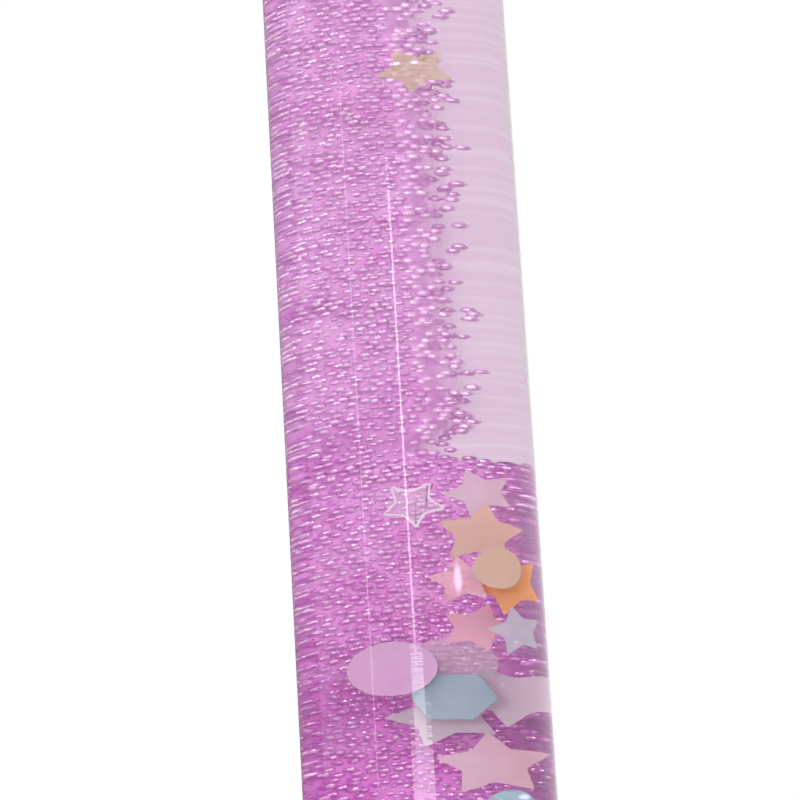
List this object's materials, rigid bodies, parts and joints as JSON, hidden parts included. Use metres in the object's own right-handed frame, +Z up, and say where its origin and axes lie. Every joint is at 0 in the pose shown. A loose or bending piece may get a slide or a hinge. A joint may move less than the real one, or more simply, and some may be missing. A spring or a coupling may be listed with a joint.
{
  "type": "glitter sensory wand",
  "caption": "Clear sealed tube with moulded end caps, filled with tinted liquid, a bed of tiny beads and pastel film stars, dots and hexagons that drift slowly when the wand is tipped.",
  "frame": {"origin": "middle of the flat end of the lower cap, on which the wand stands", "axes": "+Z up along the tube; the bead bed lies on the +Y side and the picture looks along +Y"},
  "size_m": [0.0302, 0.0302, 0.3],
  "materials": {
    "clear_tube": "clear drawn acrylic tube",
    "cap": "moulded lilac plastic with a soft gloss",
    "plug": "natural white moulded plastic",
    "seal": "black rubber O-ring",
    "stopper": "pale grey rubber",
    "liquid": "clear liquid with a faint lavender tint",
    "beads": "tiny glossy orchid-purple beads",
    "film_cream": "pearly punched confetti film",
    "film_sky": "pearly punched confetti film",
    "film_blush": "pearly punched confetti film",
    "film_lavender": "pearly punched confetti film",
    "film_gold": "pearly punched confetti film",
    "film_pink": "pearly punched confetti film",
    "film_peach": "pearly punched confetti film",
    "film_pearl": "pearly punched confetti film",
    "film_beige": "pearly punched confetti film",
    "film_teal": "pearly punched confetti film",
    "film_orange": "pearly punched confetti film"
  },
  "bodies": {
    "wand": {"tube": "clear_tube", "lower_cap": "cap", "upper_cap": "cap", "lower_plug": "plug", "upper_plug": "plug", "lower_seal": "seal", "upper_seal": "seal", "fill_stopper": "stopper", "liquid": "liquid", "lower_bead_bed": "beads", "upper_bead_bed": "beads"},
    "mint_star": {"mint_star": "film_cream"},
    "sky_hexagon": {"sky_hexagon": "film_sky"},
    "candy_star": {"candy_star": "film_blush"},
    "lavender_dot": {"lavender_dot": "film_lavender"},
    "gold_star": {"gold_star": "film_gold"},
    "pink_star": {"pink_star": "film_pink"},
    "blush_star": {"blush_star": "film_blush"},
    "peach_star": {"peach_star": "film_peach"},
    "rose_star": {"rose_star": "film_blush"},
    "pearl_star": {"pearl_star": "film_pearl"},
    "cream_dot": {"cream_dot": "film_cream"},
    "beige_dot": {"beige_dot": "film_beige"},
    "salmon_star": {"salmon_star": "film_pink"},
    "teal_dot": {"teal_dot": "film_teal"},
    "lemon_star": {"lemon_star": "film_gold"},
    "violet_hexagon": {"violet_hexagon": "film_lavender"},
    "coral_star": {"coral_star": "film_peach"},
    "silver_dot": {"silver_dot": "film_pearl"},
    "aqua_star": {"aqua_star": "film_teal"},
    "orange_star": {"orange_star": "film_orange"},
    "sky_star": {"sky_star": "film_sky"},
    "lilac_star": {"lilac_star": "film_lavender"},
    "rosy_hexagon": {"rosy_hexagon": "film_pink"}
  },
  "joints": [
    {"name": "mint_star_drift", "type": "slide", "parent": "wand", "child": "mint_star", "axis": [0, 0, 1], "range_m": [-0.0974, 0.1555]},
    {"name": "sky_hexagon_drift", "type": "slide", "parent": "wand", "child": "sky_hexagon", "axis": [0, 0, 1], "range_m": [-0.0997, 0.1548]},
    {"name": "candy_star_drift", "type": "slide", "parent": "wand", "child": "candy_star", "axis": [0, 0, 1], "range_m": [-0.0926, 0.1606]},
    {"name": "lavender_dot_drift", "type": "slide", "parent": "wand", "child": "lavender_dot", "axis": [0, 0, 1], "range_m": [-0.1024, 0.1513]},
    {"name": "gold_star_drift", "type": "slide", "parent": "wand", "child": "gold_star", "axis": [0, 0, 1], "range_m": [-0.1657, 0.0887]},
    {"name": "pink_star_drift", "type": "slide", "parent": "wand", "child": "pink_star", "axis": [0, 0, 1], "range_m": [-0.1063, 0.1479]},
    {"name": "blush_star_drift", "type": "slide", "parent": "wand", "child": "blush_star", "axis": [0, 0, 1], "range_m": [-0.1201, 0.1342]},
    {"name": "peach_star_drift", "type": "slide", "parent": "wand", "child": "peach_star", "axis": [0, 0, 1], "range_m": [-0.1153, 0.1378]},
    {"name": "rose_star_drift", "type": "slide", "parent": "wand", "child": "rose_star", "axis": [0, 0, 1], "range_m": [-0.099, 0.154]},
    {"name": "pearl_star_drift", "type": "slide", "parent": "wand", "child": "pearl_star", "axis": [0, 0, 1], "range_m": [-0.1184, 0.136]},
    {"name": "cream_dot_drift", "type": "slide", "parent": "wand", "child": "cream_dot", "axis": [0, 0, 1], "range_m": [-0.1027, 0.151]},
    {"name": "beige_dot_drift", "type": "slide", "parent": "wand", "child": "beige_dot", "axis": [0, 0, 1], "range_m": [-0.1122, 0.1428]},
    {"name": "salmon_star_drift", "type": "slide", "parent": "wand", "child": "salmon_star", "axis": [0, 0, 1], "range_m": [-0.1109, 0.1434]},
    {"name": "teal_dot_drift", "type": "slide", "parent": "wand", "child": "teal_dot", "axis": [0, 0, 1], "range_m": [-0.0863, 0.1674]},
    {"name": "lemon_star_drift", "type": "slide", "parent": "wand", "child": "lemon_star", "axis": [0, 0, 1], "range_m": [-0.0259, 0.2284]},
    {"name": "violet_hexagon_drift", "type": "slide", "parent": "wand", "child": "violet_hexagon", "axis": [0, 0, 1], "range_m": [-0.2232, 0.031]},
    {"name": "coral_star_drift", "type": "slide", "parent": "wand", "child": "coral_star", "axis": [0, 0, 1], "range_m": [-0.07, 0.1843]},
    {"name": "silver_dot_drift", "type": "slide", "parent": "wand", "child": "silver_dot", "axis": [0, 0, 1], "range_m": [-0.195, 0.06]},
    {"name": "aqua_star_drift", "type": "slide", "parent": "wand", "child": "aqua_star", "axis": [0, 0, 1], "range_m": [-0.0465, 0.2078]},
    {"name": "orange_star_drift", "type": "slide", "parent": "wand", "child": "orange_star", "axis": [0, 0, 1], "range_m": [-0.1097, 0.1432]},
    {"name": "sky_star_drift", "type": "slide", "parent": "wand", "child": "sky_star", "axis": [0, 0, 1], "range_m": [-0.1057, 0.1486]},
    {"name": "lilac_star_drift", "type": "slide", "parent": "wand", "child": "lilac_star", "axis": [0, 0, 1], "range_m": [-0.0589, 0.1941]},
    {"name": "rosy_hexagon_drift", "type": "slide", "parent": "wand", "child": "rosy_hexagon", "axis": [0, 0, 1], "range_m": [-0.2077, 0.0467]}
  ]
}
